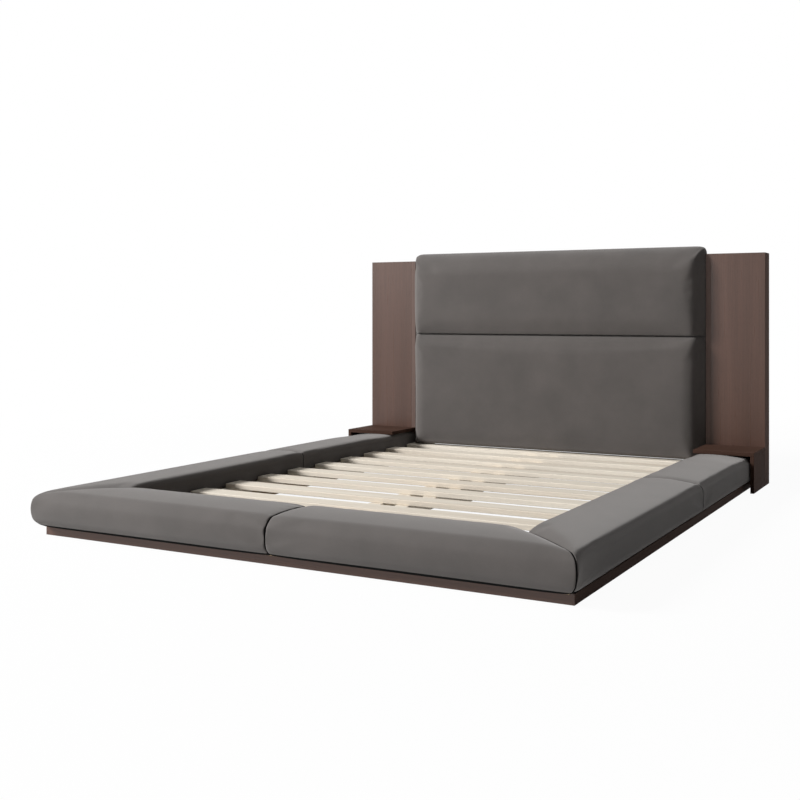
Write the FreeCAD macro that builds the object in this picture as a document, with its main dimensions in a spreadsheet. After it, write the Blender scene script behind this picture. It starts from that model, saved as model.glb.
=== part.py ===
"""Low queen platform bed: padded rails on a set-back plinth, a slat deck, and a padded
headboard between two veneered wings, each with a bedside shelf.

The origin is on the floor under the middle of the bed. +X is to the right seen from the foot,
+Y runs to the headboard and +Z is up. All lengths are in millimetres.
"""
import FreeCAD, Part
import os
import re
import Sketcher

SIZES = {
    # Opening for the mattress
    "opening_width": 1540,
    "opening_length": 2105,
    # Plinth
    "plinth_height": 32,
    "plinth_thickness": 25,
    "plinth_side_setback": 27,
    "plinth_foot_setback": 53,
    "bearer_thickness": 25,
    # Board boxes inside the rails
    "rail_width": 246,
    "box_height": 86,
    "box_board": 18,
    # Padding over the boxes
    "inner_padding": 12,
    "outer_padding": 38,
    "top_padding": 40,
    "cushion_lift": 2,
    "flange_gap": 3,
    "side_seam_place": 1311,
    "inner_edge_drop": 5.2,
    "outer_edge_drop": 12.7,
    "crown_bow": 8.5,
    "face_bow": 4,
    "inner_roll": 18,
    "outer_roll": 30,
    "lower_roll": 30,
    "seam_roll": 7,
    "cushion_end_gap": 0.5,
    # Slat deck
    "slat_drop": 19,
    "slat_thickness": 20,
    "slat_width": 95,
    "slat_end_gap": 4,
    "foot_slat_place": 155,
    "head_slat_place": 61,
    "ledger_width": 45,
    "ledger_height": 30,
    "screw_inset": 16,
    "screw_radius": 2,
    "screw_head_radius": 4,
    "screw_head_height": 3,
    "screw_bite": 18,
    "screw_clearance": 0.3,
    # Centre support
    "beam_slot": 56,
    "beam_width": 54,
    "crossbar_width": 45,
    "bracket_plate": 3,
    "bracket_reach": 60,
    "leg_inset": 320,
    "leg_length": 60,
    "leg_height": 23,
    "foot_disc_radius": 20,
    "foot_disc_height": 8,
    "foot_stem_radius": 4,
    "foot_stem_length": 25,
    "foot_travel": 6,
    "foot_stop_gap": 2,
    "foot_clearance": 0.1,
    # Headboard
    "pad_proud": 79,
    "pad_side_gap": 1,
    "pad_rise": 38,
    "pad_lift": 6,
    "upper_pad_height": 422,
    "pad_seam_gap": 0.4,
    "pad_crown": 7,
    "pad_flare": 38,
    "pad_roll": 25,
    "pad_seam_roll": 12,
    "headboard_board_thickness": 15,
    "frame_depth": 42,
    "frame_bar": 70,
    "back_cover_thickness": 6,
    # Wings
    "headboard_width": 2076,
    "wing_depth": 98,
    "wing_height": 1066,
    "wing_board": 18,
    "wing_inner_board": 24,
    "wing_back": 6,
    # Bedside shelves
    "shelf_depth": 249,
    "shelf_thickness": 16,
    "shelf_gap": 3,
    "shelf_pad_gap": 3,
    "shelf_leg_gap": 6,
    "shelf_leg_thickness": 16,
    # Bolts between the boxes and into the wings
    "bolt_radius": 4,
    "bolt_head_radius": 9,
    "bolt_head_height": 5,
    "bolt_spread": 100,
    "nut_radius": 8,
    "nut_height": 6,
    "bolt_clearance": 0.3,
    # Overrun of every cut
    "overrun": 5,
}

# Places worked out from the sizes
PLACES = {
    "half_opening": "opening_width / 2",
    "half_headboard": "headboard_width / 2",
    "rail_outer": "half_opening + rail_width",
    "foot_front": "-(rail_width + opening_length + pad_proud + wing_depth) / 2",
    "foot_inner": "foot_front + rail_width",
    "pad_front": "foot_inner + opening_length",
    "wing_front": "pad_front + pad_proud",
    "headboard_back": "wing_front + wing_depth",
    "plinth_outer": "rail_outer - plinth_side_setback",
    "plinth_front_face": "foot_front + plinth_foot_setback",
    "side_seam": "plinth_front_face + side_seam_place",
    "box_inner": "half_opening + inner_padding",
    "box_outer": "rail_outer - outer_padding",
    "box_foot": "foot_front + outer_padding",
    "box_foot_inner": "foot_inner - inner_padding",
    "box_top": "plinth_height + box_height",
    "rail_top": "box_top + top_padding",
    "cushion_bottom": "plinth_height + cushion_lift",
    "inner_edge": "rail_top - inner_edge_drop",
    "outer_edge": "rail_top - outer_edge_drop",
    "face_edge": "rail_width - face_bow",
    "slat_top": "box_top - slat_drop",
    "slat_bottom": "slat_top - slat_thickness",
    "slat_end": "half_opening - slat_end_gap",
    "flange_bottom": "slat_bottom + flange_gap",
    "first_slat": "foot_inner + foot_slat_place",
    "last_slat": "wing_front - head_slat_place",
    "crossbar_front": "wing_front - crossbar_width",
    "beam_start": "box_foot_inner + bracket_plate",
    "beam_end": "crossbar_front - bracket_plate",
    "beam_outer": "beam_slot / 2 + beam_width",
    "leg_bottom": "foot_disc_height + foot_travel + foot_stop_gap",
    "beam_bottom": "leg_bottom + leg_height",
    "pad_back": "headboard_back - back_cover_thickness - frame_depth - headboard_board_thickness",
    "frame_front": "pad_back + headboard_board_thickness",
    "frame_back": "frame_front + frame_depth",
    "pad_half": "half_opening - pad_side_gap",
    "pad_bottom": "slat_top + pad_lift",
    "pad_top": "wing_height + pad_rise",
    "pad_seam": "pad_top - upper_pad_height",
    "wing_face_inner": "half_opening + wing_inner_board",
    "shelf_bottom": "rail_top + shelf_gap",
    "shelf_front": "wing_front - shelf_depth",
    "shelf_leg_inner": "rail_outer + shelf_leg_gap",
    "shelf_outer": "shelf_leg_inner + shelf_leg_thickness",
    "bolt_height": "plinth_height + box_height / 2",
    "bolt_hole_radius": "bolt_radius + bolt_clearance",
}

# Long edges of the padding that are rolled: radius, distance from the inner face, height
CUSHION_ROLLS = (
    ("inner_roll", "0", "inner_edge"),
    ("outer_roll", "face_edge", "outer_edge"),
    ("lower_roll", "face_edge", "cushion_bottom"),
)
SLAT_COUNT = 10
BOLT_SIDES = (-1, 1)
TOUCH = 1e-4

doc = FreeCAD.newDocument("platform_bed")
sheet = doc.addObject("Spreadsheet::Sheet", "Sizes")
nodes = {}


def fill_sheet():
    """Put every driving size in the sheet under its own alias."""
    for row, (name, size) in enumerate(SIZES.items(), start=1):
        sheet.set(f"A{row}", name)
        sheet.set(f"B{row}", str(size))
        sheet.setAlias(f"B{row}", name)
    doc.recompute()


def formula(text):
    """Spell a formula out in sheet cells, through the places worked out above."""
    def spell(match):
        word = match.group()
        if word in PLACES:
            return "(" + formula(PLACES[word]) + ")"
        return "Sizes." + word if word in SIZES else word
    return re.sub(r"[a-z_]\w*", spell, text)


def value(text):
    """The number that a formula gives with the sheet as it stands."""
    return float(sheet.evalExpression(formula(text)))


def node(name, piece):
    """Name a finished piece and keep it for export."""
    piece.Label = name
    nodes[name] = piece


def board(name, low, high):
    """A square-edged board between two corners given as formulas."""
    piece = doc.addObject("Part::Box", name)
    for side, start, end in zip(("Length", "Width", "Height"), low, high):
        piece.setExpression(side, formula(f"({end}) - ({start})"))
    for axis, start in zip("xyz", low):
        piece.setExpression(f"Placement.Base.{axis}", formula(start))
    return piece


def group(name, members):
    """Separate solids that share one piece."""
    piece = doc.addObject("Part::Compound", name)
    piece.Links = members
    return piece


def mirrored(name, source):
    """The same piece on the other side of the bed's centre plane."""
    twin = doc.addObject("Part::Mirroring", name)
    twin.Source = source
    twin.Normal = FreeCAD.Vector(1, 0, 0)
    return twin


def pair(name, piece):
    """Keep a right-hand piece and its left-hand twin."""
    node(f"right_{name}", piece)
    node(f"left_{name}", mirrored(f"left_{name}", piece))


def turned(name, axis, start, steps):
    """A stepped round piece along an axis: steps are (radius, length), from the start point on."""
    direction = {"x": (1, 0, 0), "y": (0, 1, 0), "z": (0, 0, 1)}[axis]
    turn = FreeCAD.Rotation(FreeCAD.Vector(0, 0, 1), FreeCAD.Vector(*direction))
    rods = []
    travelled = "0"
    for radius, length in steps:
        rod = doc.addObject("Part::Cylinder", f"{name}_step")
        rod.Placement = FreeCAD.Placement(FreeCAD.Vector(), turn)
        rod.setExpression("Radius", formula(radius))
        rod.setExpression("Height", formula(length))
        for word, place in zip("xyz", start):
            along = f"({place}) + {travelled}" if word == axis else place
            rod.setExpression(f"Placement.Base.{word}", formula(along))
        travelled = f"{travelled} + ({length})"
        rods.append(rod)
    if len(rods) == 1:
        return rods[0]
    piece = doc.addObject("Part::MultiFuse", name)
    piece.Shapes = rods
    return piece


def cut(name, base, tools):
    """A piece with holes in it."""
    piece = doc.addObject("Part::Cut", name)
    piece.Base = base
    piece.Tool = tools[0] if len(tools) == 1 else group(f"{name}_holes", tools)
    return piece


def origin_plane(body, role):
    """One of a body's own origin planes."""
    return next(part for part in body.Origin.OriginFeatures if part.Role == role)


def outline(body, name, role, offset, corners, bow_side=1):
    """A closed outline on an origin plane. Each corner is (across, up, bow), where bow is the rise
    of the arc that leads to the next corner, and None is a straight edge. All three are formulas."""
    sketch = body.newObject("Sketcher::SketchObject", name)
    sketch.AttachmentSupport = [(origin_plane(body, role), "")]
    sketch.MapMode = "FlatFace"
    sketch.setExpression("AttachmentOffset.Base.z", formula(offset))
    spots = [FreeCAD.Vector(value(across), value(up), 0) for across, up, _ in corners]
    following = corners[1:] + corners[:1]
    ends = []
    for index, (corner, spot) in enumerate(zip(corners, spots)):
        goal = spots[(index + 1) % len(spots)]
        if corner[2] is None:
            sketch.addGeometry(Part.LineSegment(spot, goal))
        else:
            chord = goal - spot
            rise = FreeCAD.Vector(chord.y, -chord.x, 0).normalize() * value(corner[2]) * bow_side
            sketch.addGeometry(Part.Arc(spot, (spot + goal) / 2 + rise, goal))
        forward = sketch.getPoint(index, 1).isEqual(spot, TOUCH)
        ends.append((1, 2) if forward else (2, 1))
    for index, (_, last) in enumerate(ends):
        neighbour = (index + 1) % len(ends)
        sketch.addConstraint(Sketcher.Constraint("Coincident", index, last, neighbour, ends[neighbour][0]))
    for index, (corner, after) in enumerate(zip(corners, following)):
        across, up, bow = corner
        first = ends[index][0]
        for kind, place in (("DistanceX", across), ("DistanceY", up)):
            dimension = Sketcher.Constraint(kind, -1, 1, index, first, value(place))
            bind(sketch, dimension, f"{kind}_{index}", place)
        if bow is not None:
            chord_square = f"(({after[0]}) - ({across}))^2 + (({after[1]}) - ({up}))^2"
            radius = f"({chord_square}) / (8 * ({bow})) + ({bow}) / 2"
            bind(sketch, Sketcher.Constraint("Radius", index, value(radius)), f"Radius_{index}", radius)
    doc.recompute()
    return sketch


def bind(sketch, constraint, name, text):
    """Add a dimension to a sketch and tie it to its formula."""
    index = sketch.addConstraint(constraint)
    sketch.renameConstraint(index, name)
    sketch.setExpression(f"Constraints.{name}", formula(text))


def padded_out(body, sketch, length):
    """Carry a sketch out along its plane's normal."""
    pad = body.newObject("PartDesign::Pad", "run")
    pad.Profile = sketch
    pad.setExpression("Length", formula(length))
    doc.recompute()
    return pad


def rolled(body, base, radius, chosen):
    """Round the chosen edges of a body's last feature."""
    edges = enumerate(base.Shape.Edges, start=1)
    names = [f"Edge{index}" for index, edge in edges if chosen(edge.BoundBox)]
    roll = body.newObject("PartDesign::Fillet", "roll")
    roll.Base = (base, names)
    roll.setExpression("Radius", formula(radius))
    doc.recompute()
    return roll


def plinth():
    """Set-back plinth boards and the bearers under the inner edge of the rails."""
    front_back = "plinth_front_face + plinth_thickness"
    node("plinth_front", board("plinth_front", ("-plinth_outer", "plinth_front_face", "0"),
                               ("plinth_outer", front_back, "plinth_height")))
    pair("plinth", board("plinth_side", ("plinth_outer - plinth_thickness", front_back, "0"),
                         ("plinth_outer", "wing_front", "plinth_height")))
    node("plinth_rear", board("plinth_rear", ("-box_inner", "wing_front - plinth_thickness", "0"),
                              ("box_inner", "wing_front", "plinth_height")))
    bearer_outer = "box_inner + bearer_thickness"
    node("inner_bearer_front", board("bearer_front",
                                     (f"-({bearer_outer})", "box_foot_inner - bearer_thickness", "0"),
                                     (bearer_outer, "box_foot_inner", "plinth_height")))
    pair("inner_bearer", board("bearer_side", ("box_inner", "box_foot_inner", "0"),
                               (bearer_outer, "wing_front", "plinth_height")))


def bolt(axis, plane, across, reach_back, reach_on):
    """A bolt and its nut through two boards that meet at a plane, and the hole for them."""
    def place(along):
        return (along, across, "bolt_height") if axis == "x" else (across, along, "bolt_height")
    back = f"({plane}) - ({reach_back})"
    grip = f"({reach_back}) + ({reach_on})"
    nut_start = place(f"{back} - nut_height")
    screw = turned("bolt", axis, nut_start, [("bolt_radius", f"nut_height + {grip}"),
                                             ("bolt_head_radius", "bolt_head_height")])
    nut = turned("nut_blank", axis, nut_start, [("nut_radius", "nut_height")])
    hole = turned("bolt_hole", axis, place(f"{back} - nut_height - overrun"),
                  [("bolt_hole_radius", f"{grip} + nut_height + 2 * overrun")])
    return [screw, cut("nut", nut, [hole])], hole


def bolt_pair(axis, plane, middle, reach_back, reach_on):
    """Two bolts side by side, and their holes."""
    solids = []
    holes = []
    for side in BOLT_SIDES:
        pieces, hole = bolt(axis, plane, f"({middle}) + {side} * bolt_spread / 2", reach_back, reach_on)
        solids += pieces
        holes.append(hole)
    return solids, holes


def rail_box(name, axis, run, across, end_holes, inner_holes):
    """A glued box of boards: floor, lid, two walls and a rib at each end. across runs from the
    wall beside the mattress to the outer wall."""
    def place(along, sideways, rise):
        low_side, high_side = sorted(sideways, key=value)
        low_rise, high_rise = rise
        if axis == "x":
            return (along[0], low_side, low_rise), (along[1], high_side, high_rise)
        return (low_side, along[0], low_rise), (high_side, along[1], high_rise)

    start, end = run
    inner, outer = across
    inward = "-" if value(inner) < value(outer) else "+"
    outward = "+" if inward == "-" else "-"
    inner_wall = (inner, f"{inner} {outward} box_board")
    outer_wall = (f"{outer} {inward} box_board", outer)
    middle = (inner_wall[1], outer_wall[0])
    storey = ("plinth_height + box_board", "box_top - box_board")
    boards = [
        board(f"{name}_floor", *place(run, across, ("plinth_height", "plinth_height + box_board"))),
        board(f"{name}_lid", *place(run, across, ("box_top - box_board", "box_top"))),
        board(f"{name}_outer_wall", *place(run, outer_wall, storey)),
    ]
    wall = board(f"{name}_inner_wall", *place(run, inner_wall, storey))
    boards.append(cut(f"{name}_bored_wall", wall, inner_holes) if inner_holes else wall)
    rib_runs = ((start, f"{start} + box_board"), (f"{end} - box_board", end))
    for rib_run, holes in zip(rib_runs, end_holes):
        rib = board(f"{name}_rib", *place(rib_run, middle, storey))
        boards.append(cut(f"{name}_bored_rib", rib, holes) if holes else rib)
    return group(name, boards)


def rail_boxes():
    """The boxes inside the rails, bolted together at the seams and the foot corners."""
    side_middle = "(box_inner + box_outer) / 2"
    foot_middle = "(box_foot + box_foot_inner) / 2"
    seam_bolts, seam_holes = bolt_pair("y", "side_seam", side_middle, "box_board", "box_board")
    corner_bolts, corner_holes = bolt_pair("x", "box_inner", foot_middle, "box_board", "box_board")
    middle_bolts, middle_holes = bolt_pair("x", "0", foot_middle, "box_board", "box_board")
    wing_bolts, wing_holes = bolt_pair("y", "wing_front", side_middle, "box_board", "wing_board")

    side = ("box_inner", "box_outer")
    pair("front_box", rail_box("front_box", "y", ("box_foot", "side_seam"), side,
                               (None, seam_holes), corner_holes))
    pair("head_box", rail_box("head_box", "y", ("side_seam", "wing_front"), side,
                              (seam_holes, wing_holes), None))
    foot = rail_box("foot_box", "x", ("0", "box_inner"), ("box_foot_inner", "box_foot"),
                    (middle_holes, corner_holes), None)
    node("foot_box_right", foot)
    node("foot_box_left", mirrored("foot_box_left", foot))

    one_side = group("side_bolts", seam_bolts + corner_bolts)
    other_side = mirrored("side_bolts_left", one_side)
    node("rail_bolts", group("rail_bolts", [one_side, other_side] + middle_bolts))
    one_wing = group("wing_bolts", wing_bolts)
    node("headboard_bolts", group("headboard_bolts", [one_wing, mirrored("wing_bolts_left", one_wing)]))
    return wing_holes


def cushion_section():
    """The padding's section before its edges are rolled, from the inner flange over the crown to the
    outer flange and back round the box. Each corner is (distance from the inner face, height, bow of
    the next edge)."""
    outer_wall = "rail_width - outer_padding"
    return [
        ("0", "flange_bottom", None),
        ("0", "inner_edge", "crown_bow"),
        ("face_edge", "outer_edge", "face_bow"),
        ("face_edge", "cushion_bottom", None),
        (outer_wall, "cushion_bottom", None),
        (outer_wall, "box_top", None),
        ("inner_padding", "box_top", None),
        ("inner_padding", "flange_bottom", None),
    ]


def rolled_run(body, section, length, across_of):
    """The padding's section carried out to a length, with its long edges rolled. across_of gives a
    point's distance from the inner face."""
    run = padded_out(body, section, length)
    for radius, across, height in CUSHION_ROLLS:
        corner = (value(across), value(height))

        def long_edge(box):
            spot = (across_of(box.Center), box.Center.z)
            return max(abs(here - there) for here, there in zip(spot, corner)) < TOUCH

        run = rolled(body, run, radius, long_edge)
    return run


def mitre(body, corners):
    """Cut a cushion off along the diagonal of a foot corner."""
    sketch = outline(body, "mitre", "XY_Plane", "0", [(across, up, None) for across, up in corners])
    pocket = body.newObject("PartDesign::Pocket", "mitre_cut")
    pocket.Profile = sketch
    pocket.Type = "ThroughAll"
    pocket.Reversed = True
    doc.recompute()
    return pocket


def foot_cushion():
    """Right half of the foot rail's padding, from the middle seam to the mitred corner."""
    body = doc.addObject("PartDesign::Body", "foot_cushion")
    corners = [(f"foot_inner - ({across})", up, bow) for across, up, bow in cushion_section()]
    section = outline(body, "section", "YZ_Plane", "0", corners, bow_side=1)
    wall = value("foot_inner")
    rolled_run(body, section, "rail_outer", lambda point: wall - point.y)
    run = mitre(body, [("half_opening - overrun", "foot_inner + overrun"),
                       ("rail_outer + overrun", "foot_front - overrun"),
                       ("rail_outer + overrun", "foot_inner + overrun")])

    def seam_edge(box):
        curved = min(box.YLength, box.ZLength) > TOUCH
        return box.XMax < TOUCH and (curved or box.YMin > wall - TOUCH)

    rolled(body, run, "seam_roll", seam_edge)
    return body


def side_cushion(name, start, end, mitred):
    """A length of the right rail's padding."""
    body = doc.addObject("PartDesign::Body", name)
    corners = [(f"half_opening + ({across})", up, bow) for across, up, bow in cushion_section()]
    section = outline(body, "section", "XZ_Plane", f"-({end})", corners, bow_side=-1)
    seam, wall = value("side_seam"), value("half_opening")
    run = rolled_run(body, section, f"({end}) - ({start})", lambda point: point.x - wall)
    if mitred:
        run = mitre(body, [("half_opening - overrun", "foot_inner + overrun"),
                           ("half_opening - overrun", "foot_front - overrun"),
                           ("rail_outer + overrun", "foot_front - overrun")])

    def seam_edge(box):
        curved = min(box.XLength, box.ZLength) > TOUCH
        at_seam = max(abs(box.YMin - seam), abs(box.YMax - seam)) < TOUCH
        return at_seam and (curved or box.XMax < wall + TOUCH)

    rolled(body, run, "seam_roll", seam_edge)
    return body


def cushions():
    """The padding over every rail box."""
    foot = foot_cushion()
    node("foot_cushion_right", foot)
    node("foot_cushion_left", mirrored("foot_cushion_left", foot))
    pair("front_cushion", side_cushion("front_cushion", "foot_front", "side_seam", True))
    pair("head_cushion", side_cushion("head_cushion", "side_seam", "wing_front - cushion_end_gap", False))


def slat_deck():
    """Slats screwed to a ledger along each side."""
    shank = "slat_thickness - screw_head_height"
    screw_across = "slat_end - screw_inset"
    screw_bottom = "slat_bottom - screw_bite"
    hole_radius = "screw_radius + screw_clearance"
    screws = []
    ledger_holes = []
    for index in range(SLAT_COUNT):
        name = f"slat_{index + 1:02d}"
        middle = f"(first_slat + (last_slat - first_slat) * {index} / {SLAT_COUNT - 1})"
        holes = []
        for side in ("-", ""):
            spot = (f"{side}({screw_across})", middle)
            screws.append(turned("slat_screw", "z", (*spot, screw_bottom),
                                 [("screw_radius", f"screw_bite + {shank}"),
                                  ("screw_head_radius", "screw_head_height")]))
            holes.append(turned("screw_hole", "z", (*spot, "slat_bottom - overrun"),
                                [(hole_radius, f"overrun + {shank}"),
                                 ("screw_head_radius + screw_clearance", "screw_head_height + overrun")]))
        pilot_start = (screw_across, middle, f"{screw_bottom} - screw_clearance")
        ledger_holes.append(turned("pilot_hole", "z", pilot_start,
                                   [(hole_radius, "screw_bite + screw_clearance + overrun")]))
        plank = board(f"{name}_plank", ("-slat_end", f"{middle} - slat_width / 2", "slat_bottom"),
                      ("slat_end", f"{middle} + slat_width / 2", "slat_top"))
        node(name, cut(name, plank, holes))
    node("slat_screws", group("slat_screws", screws))
    ledger = board("ledger", ("box_inner - ledger_width", "box_foot_inner", "slat_bottom - ledger_height"),
                   ("box_inner", "crossbar_front", "slat_bottom"))
    pair("ledger", cut("bored_ledger", ledger, ledger_holes))


def centre_support():
    """Twin battens under the slats, their end brackets, and three blocks on screw feet."""
    batten = board("batten", ("beam_slot / 2", "beam_start", "beam_bottom"),
                   ("beam_outer", "beam_end", "slat_bottom"))
    node("centre_beam_right", batten)
    node("centre_beam_left", mirrored("centre_beam_left", batten))
    node("head_crossbar", board("head_crossbar", ("-box_inner", "crossbar_front", "plinth_height"),
                                ("box_inner", "wing_front", "slat_bottom")))

    plate_bottom = "beam_bottom - bracket_plate"
    brackets = []
    for face, inward in (("box_foot_inner", "+"), ("crossbar_front", "-")):
        def span(depth):
            return sorted((face, f"{face} {inward} {depth}"), key=value)
        upright_run = span("bracket_plate")
        tray_run = span("bracket_reach")
        upright = board("bracket_upright", ("-beam_outer", upright_run[0], "plinth_height"),
                        ("beam_outer", upright_run[1], "slat_bottom"))
        tray = board("bracket_tray", ("-beam_outer", tray_run[0], plate_bottom),
                     ("beam_outer", tray_run[1], "beam_bottom"))
        bracket = doc.addObject("Part::Fuse", "bracket")
        bracket.Base = upright
        bracket.Tool = tray
        brackets.append(bracket)
    node("beam_brackets", group("beam_brackets", brackets))

    places = {
        "front": "beam_start + leg_inset",
        "middle": "(beam_start + beam_end) / 2",
        "rear": "beam_end - leg_inset",
    }
    for name, middle in places.items():
        block = board(f"leg_{name}", ("-beam_outer", f"{middle} - leg_length / 2", "leg_bottom"),
                      ("beam_outer", f"{middle} + leg_length / 2", "beam_bottom"))
        bore = turned("leg_bore", "z", ("0", middle, "leg_bottom - overrun"),
                      [("foot_stem_radius + foot_clearance", "leg_height + 2 * overrun")])
        node(f"centre_leg_{name}", cut(f"centre_leg_{name}", block, [bore]))
        node(f"levelling_foot_{name}", turned(f"levelling_foot_{name}", "z", ("0", middle, "0"),
                                              [("foot_disc_radius", "foot_disc_height"),
                                               ("foot_stem_radius", "foot_stem_length")]))


def headboard_pad(name, bottom, top, rolled_top):
    """A padded panel: crowned across its front, spreading back to the wings, and rolled at its
    free edges and at the seam."""
    body = doc.addObject("PartDesign::Body", name)
    front_corner = "pad_front + pad_crown"
    front_half = "pad_half - pad_flare"
    plan = outline(body, "plan", "XY_Plane", bottom,
                   [("-pad_half", "pad_back", None), ("-pad_half", "wing_front", None),
                    (f"-({front_half})", front_corner, "pad_crown"), (front_half, front_corner, None),
                    ("pad_half", "wing_front", None), ("pad_half", "pad_back", None)])
    block = padded_out(body, plan, f"({top}) - ({bottom})")
    corner, side = value(front_corner), value("wing_front")
    low, high, back = value(bottom), value(top), value("pad_back")

    def outer_edge(box):
        upright = box.ZLength > TOUCH and box.YMax < corner + TOUCH
        along_top = box.ZMin > high - TOUCH and box.YMin < side + TOUCH
        return upright or (rolled_top and along_top)

    def seam_edge(box):
        level = low if rolled_top else high
        return abs(box.ZMin - level) < TOUCH and box.ZLength < TOUCH and box.YMax < back - TOUCH

    edges = rolled(body, block, "pad_roll", outer_edge)
    rolled(body, edges, "pad_seam_roll", seam_edge)
    return body


def headboard():
    """Two padded panels on a board, with a timber frame and a thin cover behind."""
    upper_bottom = "pad_seam + pad_seam_gap / 2"
    node("headboard_pad_upper", headboard_pad("pad_upper", upper_bottom, "pad_top", True))
    lower_top = "pad_seam - pad_seam_gap / 2"
    node("headboard_pad_lower", headboard_pad("pad_lower", "pad_bottom", lower_top, False))
    node("headboard_board", board("headboard_board", ("-half_opening", "pad_back", "pad_bottom"),
                                  ("half_opening", "frame_front", "wing_height")))
    node("headboard_back_cover", board("headboard_back_cover", ("-half_opening", "frame_back", "pad_bottom"),
                                       ("half_opening", "headboard_back", "wing_height")))
    stile_inner = "half_opening - frame_bar"
    stile = board("stile", (stile_inner, "frame_front", "0"), ("half_opening", "frame_back", "wing_height"))
    bars = [stile, mirrored("stile_left", stile)]
    for bar_bottom in ("pad_bottom", "pad_seam - frame_bar / 2", "wing_height - frame_bar"):
        bars.append(board("frame_bar", (f"-({stile_inner})", "frame_front", bar_bottom),
                          (stile_inner, "frame_back", f"{bar_bottom} + frame_bar")))
    node("headboard_frame", group("headboard_frame", bars))


def wings(bolt_holes):
    """Hollow veneered wings that stand on the floor beside the padded panels."""
    face_back = "wing_front + wing_board"
    face = board("wing_face_board", ("wing_face_inner", "wing_front", "0"),
                 ("half_headboard", face_back, "wing_height"))
    pair("wing_face", cut("wing_face", face, bolt_holes))
    side_inner = "half_headboard - wing_board"
    pair("wing_side", board("wing_side", (side_inner, face_back, "0"),
                            ("half_headboard", "headboard_back", "wing_height")))
    back_front = "headboard_back - wing_back"
    lid_bottom = "wing_height - wing_board"
    carcass = [
        board("wing_inner_side", ("half_opening", "wing_front", "0"),
              ("wing_face_inner", "headboard_back", "wing_height")),
        board("wing_lid", ("wing_face_inner", face_back, lid_bottom),
              (side_inner, "headboard_back", "wing_height")),
        board("wing_back_panel", ("wing_face_inner", back_front, "0"),
              (side_inner, "headboard_back", lid_bottom)),
    ]
    pair("wing_carcass", group("wing_carcass", carcass))


def shelves():
    """A bedside shelf over the head end of each rail, carried by the wing and a side panel."""
    pair("shelf", board("shelf", ("pad_half + shelf_pad_gap", "shelf_front", "shelf_bottom"),
                        ("shelf_outer", "wing_front", "shelf_bottom + shelf_thickness")))
    pair("shelf_leg", board("shelf_leg", ("shelf_leg_inner", "shelf_front", "0"),
                            ("shelf_outer", "wing_front", "shelf_bottom")))


def check_document():
    """Stop if any object failed or any piece is empty or invalid."""
    for item in doc.Objects:
        if {"Invalid", "Error"} & set(item.State):
            raise RuntimeError(f"{item.Name} failed: {item.State}")
    for name, piece in nodes.items():
        if piece.Shape.isNull() or not piece.Shape.isValid() or not piece.Shape.Solids:
            raise RuntimeError(f"{name} has no valid solid")


def export():
    """Write each piece to its own file."""
    os.makedirs("parts", exist_ok=True)
    for name, piece in nodes.items():
        piece.Shape.exportStep(f"parts/{name}.step")


fill_sheet()
plinth()
bolt_holes = rail_boxes()
cushions()
slat_deck()
centre_support()
headboard()
wings(bolt_holes)
shelves()
doc.recompute()
check_document()
export()
print(len(nodes), "pieces,", sum(len(piece.Shape.Solids) for piece in nodes.values()), "solids")
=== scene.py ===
"""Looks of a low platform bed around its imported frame: padded rails and headboard panels, veneered
wings, shelves and plinth, timber slats, and a plain studio. All lengths are in metres."""
import math
from collections import namedtuple

import bmesh
import bpy
import numpy as np
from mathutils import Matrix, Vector


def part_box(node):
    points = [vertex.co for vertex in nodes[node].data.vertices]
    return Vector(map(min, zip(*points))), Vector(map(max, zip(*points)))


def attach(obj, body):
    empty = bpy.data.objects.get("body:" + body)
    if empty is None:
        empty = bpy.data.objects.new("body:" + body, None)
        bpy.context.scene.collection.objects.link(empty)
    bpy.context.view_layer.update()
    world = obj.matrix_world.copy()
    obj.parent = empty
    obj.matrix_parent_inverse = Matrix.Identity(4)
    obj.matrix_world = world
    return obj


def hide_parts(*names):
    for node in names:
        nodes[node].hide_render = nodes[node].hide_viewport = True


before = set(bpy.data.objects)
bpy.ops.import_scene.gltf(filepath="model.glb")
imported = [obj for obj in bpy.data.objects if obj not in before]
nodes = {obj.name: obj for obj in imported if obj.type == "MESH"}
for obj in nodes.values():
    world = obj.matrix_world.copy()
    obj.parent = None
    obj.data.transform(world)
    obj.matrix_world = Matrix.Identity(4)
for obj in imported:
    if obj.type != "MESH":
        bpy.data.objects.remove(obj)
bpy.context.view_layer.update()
scene = bpy.context.scene

# Camera, worked out from the two vanishing points of the photograph
CAMERA_PLACE = (2.014, -4.033, 0.788)
CAMERA_TURN = math.radians(29.01)
CAMERA_LENS = 49.55
CAMERA_SHIFT = (0.0009, -0.1084)
SENSOR = 36.0

# Places read from the frame
half_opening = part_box("right_front_cushion")[0].x
rail_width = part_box("right_front_cushion")[1].x - half_opening
foot_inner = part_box("foot_cushion_right")[1].y
side_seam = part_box("right_front_cushion")[1].y
rail_head_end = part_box("right_head_cushion")[1].y
rail_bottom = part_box("foot_cushion_right")[0].z
rail_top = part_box("foot_cushion_right")[1].z
box_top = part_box("foot_box_right")[1].z
box_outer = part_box("right_front_box")[1].x - half_opening
box_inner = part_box("right_front_box")[0].x - half_opening
slat_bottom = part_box("slat_01")[0].z
shelf_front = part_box("right_shelf")[0].y
wing_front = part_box("right_wing_face")[0].y
wing_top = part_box("right_wing_face")[1].z

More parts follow.
